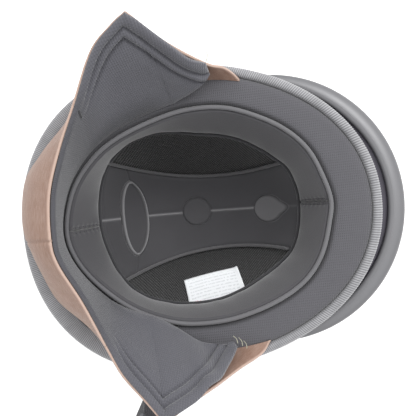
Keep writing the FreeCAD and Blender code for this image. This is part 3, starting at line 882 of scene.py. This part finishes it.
def make_label():
    """Sewn size label lying on the left mesh panel, its front end curling up a little."""
    length, width = 50.0, 25.0
    turn = math.radians(10.5)
    along = np.array([math.cos(turn), math.sin(turn)])
    across = np.array([math.sin(turn), -math.cos(turn)])
    s, t = np.meshgrid(np.linspace(0, 1, 40), np.linspace(0, 1, 24))
    plan = (np.array([23.1, -63.0]) + ((s - 0.5) * length + 2.7 * t)[..., None] * along
            + (22.5 * t - 8.75 + 1.5 * s)[..., None] * across)
    curl = 0.5 * np.sin(math.pi * s) + 1.2 * ease(s, 0.9, 1) * (1 - t)
    face = bowl(plan[..., 0], plan[..., 1], LINING + 2.6, 0.9 + curl)
    back = bowl(plan[..., 0], plan[..., 1], LINING + 2.6, 0.55 + curl)
    uv = np.stack([s * length, (1 - t) * width], -1)
    label = slab("size_label_tag", face, back, printed_label("label_satin", length, width), uv=uv)
    fit(label, ["size_label"])


# ---- neck curtain and ear flaps

TIP_RIGHT, TIP_LEFT = (-10, 143.3, 225), (-12, -134.5, 225)
BACK_RIGHT, BACK_LEFT = (-56, 88.5, 202), (-49.8, -81.5, 208)
FRONT_ROOT_RIGHT, FRONT_ROOT_LEFT = (63, 101, 152.4), (66.6, -100.5, 152.4)

# Free edge of the leather: each flap's front and rear edge, and the curtain between them.
EDGE = {
    "right_front": [FRONT_ROOT_RIGHT, (58, 106.3, 158), (51, 110, 166.5), (38.4, 112, 180),
                    (13, 124.8, 205), TIP_RIGHT],
    "right_rear": [TIP_RIGHT, (-21, 137, 220), (-38, 122.5, 212), BACK_RIGHT],
    "curtain": [BACK_RIGHT, (-69.5, 59.5, 199), (-79.8, 28, 199), (-82.5, -4, 199),
                (-79.3, -22.2, 199), (-64.4, -50.8, 201), BACK_LEFT],
    "left_rear": [BACK_LEFT, (-39, -101, 215), (-24, -118.5, 222), TIP_LEFT],
    "left_front": [TIP_LEFT, (-2, -128.3, 219.5), (10.5, -123.5, 210), (25.8, -119.5, 192),
                   (40.8, -115.4, 172), (58.5, -109.7, 157), FRONT_ROOT_LEFT],
}
# Where the leather is sewn down, on the tape at the rear and on the facing at the sides.
ROOT = {
    "right_front": [FRONT_ROOT_RIGHT, (40, 104.5, 152.2), (-6, 106, 152.2)],
    "right_rear": [(-6, 106, 152.2), (-40, 99, 152.3), (-68, 86, 152.6)],
    "curtain": [(-68, 86, 152.6), (-79, 75.5, 152.8), (-96.5, 59, 153), (-110.5, 40, 153.2),
                (-115.3, 9, 153.2), (-111, -12, 153), (-104.3, -32, 152.8), (-95, -53, 152.7),
                (-78.5, -69.6, 152.6), (-68, -81, 152.5)],
    "left_rear": [(-68, -81, 152.5), (-40, -97, 152.3), (-6, -105, 152.2)],
    "left_front": [(-6, -105, 152.2), (40, -104.5, 152.2), FRONT_ROOT_LEFT],
}
# The padded lining: its front corners, and the side edges that climb to them.
LINING_EDGE = {
    "right_front": [(38.5, 112.6, 180), (26.9, 115.6, 191), (13, 124.8, 205), TIP_RIGHT],
    "left_front": [TIP_LEFT, (-2, -128.3, 219.5), (10.5, -123.5, 210), (19, -117, 203),
                   (27, -115, 192), (35.4, -108.6, 176), (41, -100, 168)],
}
FOOT_SIDE = {
    "right_front": [(41, 104.5, 172), (35, 99.2, 168), (24.3, 94.4, 160), (12.5, 90, 155)],
    "left_front": [(-21, -73.5, 155.5), (-6.3, -83, 155.5), (12, -96, 159), (38.5, -97.6, 166)],
}
RUNS = ("right_front", "right_rear", "curtain", "left_rear", "left_front")
# Ends of those runs along the crease: heading in degrees, way out from the piping, height.
CREASE = ((95, 7.5, 153.4), (103, 7, 152.4), (143, 6.2, 151.4), (217, 5.2, 151.6),
          (237, -0.5, 155.0), (240, -1.0, 155.4))
COLUMNS = dict(zip(RUNS, (110, 90, 150, 90, 120)))
PARTS = {"right": ("right_front", "right_rear"), "curtain": ("curtain",),
         "left": ("left_rear", "left_front")}


def part_line(table, part):
    """Evenly spaced points along the runs of a flap or the curtain."""
    return join(*(spline(table[run], COLUMNS[run]) for run in PARTS[part]))


def lining_edge(part):
    """The lining's free edge: the leather's, apart from the two front edges."""
    return part_line({**EDGE, **LINING_EDGE}, part)


def crease(run):
    """Part of the lining's foot that follows the piping."""
    number = RUNS.index(run)
    heading, out, height = np.linspace(CREASE[number], CREASE[number + 1], 30).T
    return level(piping_at(np.radians(heading), out), height)


def foot_line(part):
    """The lining's foot: the crease and, on a flap, the side that climbs from it."""
    lines = []
    for run in PARTS[part]:
        line = crease(run)
        if run == "right_front":
            line = np.vstack([FOOT_SIDE[run], line[::6]])
        if run == "left_front":
            line = np.vstack([line[:1], FOOT_SIDE[run]])
        spaced = spline if run in FOOT_SIDE else evenly
        lines.append(spaced(line, COLUMNS[run]))
    return join(*lines)


def between(root, edge, rows, bulge, outward, dip=0.0):
    """Grid of rows from root to edge that bulges along outward; dip holds the foot low."""
    share = np.linspace(0, 1, rows)[:, None, None]
    grid = root[None] + (edge - root)[None] * share
    grid = grid + outward[None] * (np.sin(math.pi * share) * np.asarray(bulge)[None, :, None])
    grid[..., 2] -= np.asarray(dip) * np.sin(math.pi * share[..., 0]) * (1 - share[..., 0])
    return grid


def outward_of(grid):
    """Unit normals of a grid of the curtain or a flap, pointing away from the head."""
    normal = normals_of(grid)
    flip = (normal * (grid - [20.0, 0, 190])).sum(-1, keepdims=True) < 0
    return np.where(flip, -normal, normal)


def outward_along(root, edge):
    """For each column between two lines, a smoothed unit normal away from the head."""
    line = outward_of(between(root, edge, 3, 0 * root[:, 0], 0 * root))[1]
    width = 12
    kernel = np.ones(2 * width + 1) / (2 * width + 1)
    padded = np.pad(line, ((width, width), (0, 0)), mode="edge")
    return unit(np.stack([np.convolve(padded[:, k], kernel, "valid") for k in range(3)], 1))


def stem(part):
    return "neck_curtain" if part == "curtain" else f"ear_flap_{part}"


def make_leather(part):
    """Leather skin of a flap or the curtain, bulging a little, with a seam or a stitched edge."""
    root, edge = part_line(ROOT, part), part_line(EDGE, part)
    length = np.linalg.norm(edge - root, axis=1)
    spread = np.sin(math.pi * np.linspace(0, 1, len(root))) ** 1.2
    bulge = length * (0.11 if part == "curtain" else 0.035) * spread
    share = np.linspace(0, 1, 60)
    grid = between(root, edge, len(share), bulge, outward_along(root, edge))
    normal = outward_of(grid)
    from_edge = (1 - share)[:, None] * length
    if part == "curtain":
        seam = abs(grid[..., 1] + 5)
        fold = 0.5 * np.sin(grid[..., 1] / 9 + 3 * share[:, None]) * np.sin(math.pi * share)[:, None]
        relief = fold - 0.9 * hill(seam, 0.7) + 0.35 * hill(seam - 2.2, 1.3)
    else:
        relief = -0.35 * hill(from_edge - 5, 0.8)
    thick = 1.1 * rounded(share, 40)[:, None]
    face = grid + normal * (thick + relief)[..., None]
    back = grid - normal * thick[..., None]
    uv = np.stack([np.broadcast_to(distance_along(edge), from_edge.shape), from_edge], -1)
    return slab(f"{stem(part)}_leather_skin", face, back, LEATHER_FINISH, uv=uv,
                marks=ease(from_edge, 2.6, 0.8) * 0.9)


def whole(line_of):
    """Lines of right flap, curtain and left flap end to end, and each piece's span of columns."""
    lines = [line_of(part) for part in ("right", "curtain", "left")]
    first = len(lines[0]) - 1
    second = first + len(lines[1]) - 1
    spans = {"right": slice(0, first + 1), "curtain": slice(first, second + 1),
             "left": slice(second, second + len(lines[2]))}
    return join(*lines), spans


def lining_relief(grid, edge, part):
    """Two stitched channels along a flap's free edges, and the padding puffed between them."""
    split = COLUMNS[PARTS[part][0]]
    first, second = edge[:split], edge[split - 1:]
    ahead, behind = (first, second) if part == "right" else (second, first)
    from_front, from_rear = distance_to(grid, ahead), distance_to(grid, behind)
    outer = np.minimum(from_front - 9.2, from_rear - 6.4)
    inner = np.minimum(from_front - 16.0, from_rear - 12.4)
    groove = 2.3 * (hill(outer, 1.25) + hill(inner, 1.25))
    puff = 1.1 * hill((outer + inner) / 2, 2.3) + 1.0 * ease(inner, 1.0, 9.0)
    return puff - groove + 0.6 * hill(np.minimum(from_front, from_rear) - 4, 2.5)


CLOTH_RADIUS = 105.0  # the cloth's wales run up and down, counted round a circle this big


def painted_lining_shade(heading, from_foot):
    """How dark the lining's nap is painted as shade, most in the crease behind and on the curtain.
    """
    tucked = ease(heading, 95, 110) * ease(heading, 232, 215)
    shaded = 0.55 * ease(heading, 128, 150) * ease(heading, 226, 208)
    return np.maximum(0.85 * tucked * ease(from_foot, 26, 1), shaded)


def make_linings():
    """Padded linings of curtain and flaps, shaped as one sheet and parted where they join."""
    foot, spans = whole(foot_line)
    edge, _ = whole(lining_edge)
    out = outward_along(foot, edge)
    middle = spans["curtain"]
    columns = np.ones(len(foot))  # 0 at a flap's front end, 1 where it meets the curtain
    columns[:middle.start] = np.linspace(0, 1, middle.start, endpoint=False)
    columns[middle.stop:] = np.linspace(1, 0, len(foot) - middle.stop)
    near_joint = ease(columns, 1.0, 0.8)
    front = near_joint * ease(columns, 0.55, 0.47) * ease(columns, 0.10, 0.22)
    edge = edge - out * (1.2 - 0.9 * front)[:, None]
    edge = edge + unit(edge - foot) * (1.2 * front - 0.2)[:, None]
    share = np.linspace(0, 1, 110)
    length = np.linalg.norm(edge - foot, axis=1)
    grid = between(foot, edge, len(share), -0.02 * length, out, dip=3.0 * near_joint)
    inward = -outward_of(grid)
    thick = (2.6 * rounded(share, 22))[:, None] * rounded(0.5 + 0.5 * (1 - columns), 60)
    relief = np.zeros(thick.shape)
    for part in ("right", "left"):
        span = spans[part]
        relief[:, span] = lining_relief(grid[:, span], edge[span], part)
    relief *= ease(columns, 0.0, 0.03) * near_joint * ease(share, 0.0, 0.12)[:, None]
    face = grid + inward * (thick + relief * (thick > 1.2))[..., None]
    back = grid - inward * thick[..., None] * 0.45
    from_foot = np.linalg.norm(grid - foot[None], axis=-1)
    # Painted shade in the lining's crease and over the curtain.
    marks = painted_lining_shade(np.degrees(heading_of(foot[:, :2])) % 360, from_foot)
    uv = np.stack([heading_of(face[..., :2]) % TURN * CLOTH_RADIUS, from_foot], -1)
    pads = {}
    for part, span in spans.items():
        pads[part] = slab(f"{stem(part)}_lining_pad", face[:, span], back[:, span], LINING_FINISH,
                          uv=uv[:, span], marks=marks[:, span])
        pads[part].data.set_sharp_from_angle(angle=math.radians(60))
    row = slice(int(0.80 * len(share)), int(0.95 * len(share)))
    line = face[row, middle.start] + inward[row, middle.start] * 0.5
    fit(tube("joint_stitch_right", line, 0.8, THREAD_FINISH))
    return pads


def bend_with_flap(thing):
    """Bake the piece's transform into its points; nothing bends it with the flap."""
    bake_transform(thing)


def make_curtain_and_flaps():
    fit(make_leather("curtain"), ["neck_curtain_leather"])
    pads = make_linings()
    fit(pads["curtain"], ["neck_curtain_padding"])
    for side, word in SIDES:
        skin = make_leather(word)
        fit(skin, [f"ear_flap_leather_{word}"], body=None)
        fit(pads[word], [f"ear_flap_padding_{word}"], body=None)
        bend_with_flap(skin)
        bend_with_flap(pads[word])


# ---- chin strap

LEFT_STRAP_SHIFT = 5.0  # the left strap is sewn on a little nearer to the flap's tip


def pivot_of(joint):
    return np.array(JOINTS[joint]["pos_m"]) / MM


def axis_of(joint):
    return np.array(JOINTS[joint]["axis"])


def make_flap_tab(side, word, width):
    """Webbing sewn up the outside of a flap, to where the strap swings."""
    pivot, along = pivot_of(f"chin_strap_{word}_swing"), axis_of(f"ear_flap_{word}_fold") * side
    way = pivot - pivot_of(f"ear_flap_{word}_fold")
    up = unit(way - along * (way @ along))
    if side < 0:
        pivot -= axis_of("chin_strap_left_swing") * LEFT_STRAP_SHIFT
    low, high = corners(f"flap_webbing_{word}")
    foot = pivot - up * (high[2] - low[2]) / up[2] * 0.95
    tab = webbing(f"flap_webbing_{word}_tab", [foot, (foot + pivot) / 2, pivot + up * 4], along,
                  width)
    fit(tab, [f"flap_webbing_{word}"], body=None)
    bend_with_flap(tab)


def make_right_strap(width):
    """Strap that turns round the bar of the D rings and is sewn back on itself."""
    x, y, _ = pivot_of("chin_strap_right_swing") + [0, 1.0, 0]
    low, high = corners("chin_strap_right")
    bar = low[2] + 3.6
    # Points of the strap: way out from its plane, and height above the bar.
    loop = [(0, high[2] + 1 - bar), (0, 12), (0.2, 8), (3.2, 2.4), (4, 0), (3, -2.6), (0, -3.6),
            (-3, -2.6), (-4, 0), (-3.2, 2.4), (-1.8, 8), (-1.9, 22)]
    path = spline([(x, y + out, bar + rise) for out, rise in loop], 90)
    strap = webbing("chin_strap_right_webbing", path, (1, 0, 0), width)
    fit(strap, ["chin_strap_right"], body="strap_right")


def make_left_strap(width):
    """Loose tail that stands off the flap and bends down in an arc."""
    across = axis_of("chin_strap_left_swing")
    out = np.cross(across, (0.0, 0.0, 1.0))
    out *= -np.sign(out[1])
    down = np.array([0.0, 0.0, -1.0])
    reach, bend, slant = 12.0, 14.0, math.sqrt(0.5)
    start = pivot_of("chin_strap_left_swing") + out * 2.5 - across * LEFT_STRAP_SHIFT
    corner = start + (out + down) * reach
    centre = corner + (down - out) * bend * slant
    path = [start, (start + corner) / 2]
    path += [centre + bend * (out * math.cos(angle) - down * math.sin(angle))
             for angle in np.radians(np.linspace(45, 0, 9))]
    last = path[-1]
    foot = np.array([*last[:2], corners("chin_strap_left")[0][2] + 1])
    path += [last * (1 - share) + foot * share for share in (0.3, 0.65, 1)]
    tail = webbing("chin_strap_left_webbing", spline(path, 160), across, width)
    fit(tail, ["chin_strap_left"], body="strap_left")


def make_straps():
    low, high = corners("chin_strap_right")
    width = high[0] - low[0]
    for side, word in SIDES:
        make_flap_tab(side, word, width)
    make_right_strap(width)
    make_left_strap(width)


THREAD_ENDS = (((39.5, 112.5, 183), (40.5, 117.5, 192)), ((38, -93.5, 157), (41, -98, 163)),
               ((42, -95, 158), (44.5, -99.5, 166)), ((45.5, -98, 157), (47.5, -102.5, 163)))


def make_thread_ends():
    """Loose ends of pale thread where the flaps are sewn to the rim."""
    for number, (foot, tip) in enumerate(THREAD_ENDS):
        bow = [foot, np.add(foot, tip) / 2 + [0.8, 0.5, 0.6], tip]
        fit(tube(f"thread_end_{number}", spline(bow, 16), 0.3, PALE_THREAD, sides=6))


def dress(node, material):
    """Give a carried-over CAD node its finish."""
    thing = frame["nodes"][node]
    thing.data.materials.clear()
    thing.data.materials.append(material)


# ---- stage, light and camera

# Each light's name, its place and size in metres, and its power.
LIGHTS = (("window", (0.95, 0.75, 1.6), 1.0, 30), ("fill", (-0.6, 0.9, 1.3), 1.2, 8))
LIT_POINT = Vector((0, 0, 0.1))


def make_stage():
    bpy.ops.mesh.primitive_plane_add(size=6, location=(0, 0, 0))
    floor = bpy.context.object
    floor.name = "floor"
    floor.data.materials.append(plain_floor())
    scene = bpy.context.scene
    scene.view_settings.view_transform = "Standard"
    scene.world = bpy.data.worlds.new("soft_room")
    scene.world.use_nodes = True
    sky = scene.world.node_tree.nodes["Background"]
    sky.inputs[0].default_value = (1.0, 1.0, 1.0, 1)
    sky.inputs[1].default_value = 1.3
    for name, place, size, power in LIGHTS:
        light = bpy.data.lights.new(name, "AREA")
        light.size, light.energy = size, power
        lamp = bpy.data.objects.new(name, light)
        lamp.location = place
        lamp.rotation_euler = (LIT_POINT - Vector(place)).to_track_quat("-Z", "Y").to_euler()
        scene.collection.objects.link(lamp)


CAMERA_PLACE, CAMERA_TARGET = Vector((49.7, 18.2, 670)) * MM, Vector((28.5, 6.1, 150)) * MM
CAMERA_ROLL, CAMERA_LENS = -0.103, 58.1


def make_camera():
    ahead = (CAMERA_TARGET - CAMERA_PLACE).normalized()
    right = ahead.cross(Vector((0, 1, 0))).normalized()
    up = right.cross(ahead)
    cosine, sine = math.cos(CAMERA_ROLL), math.sin(CAMERA_ROLL)
    axes = Matrix((right * cosine + up * sine, up * cosine - right * sine, -ahead)).transposed()
    data = bpy.data.cameras.new("camera")
    data.sensor_width, data.lens = 36, CAMERA_LENS
    data.clip_start, data.clip_end = 0.01, 20
    camera = bpy.data.objects.new("camera", data)
    camera.matrix_world = Matrix.Translation(CAMERA_PLACE) @ axes.to_4x4()
    bpy.context.scene.collection.objects.link(camera)
    bpy.context.scene.camera = camera


make_camera()
make_stage()
make_shell()
make_tape()
make_peak()
make_facing()
make_head_band()
make_crown_pad()
make_badge()
make_mesh_lining()
make_label()
make_curtain_and_flaps()
make_straps()
make_thread_ends()
dress("foam_liner", FOAM_FINISH)
for node in ("strap_rivets", "d_ring_inner", "d_ring_outer"):
    dress(node, STEEL_FINISH)
for node in ("strap_anchor_right", "strap_anchor_left"):
    dress(node, WEBBING_FINISH)
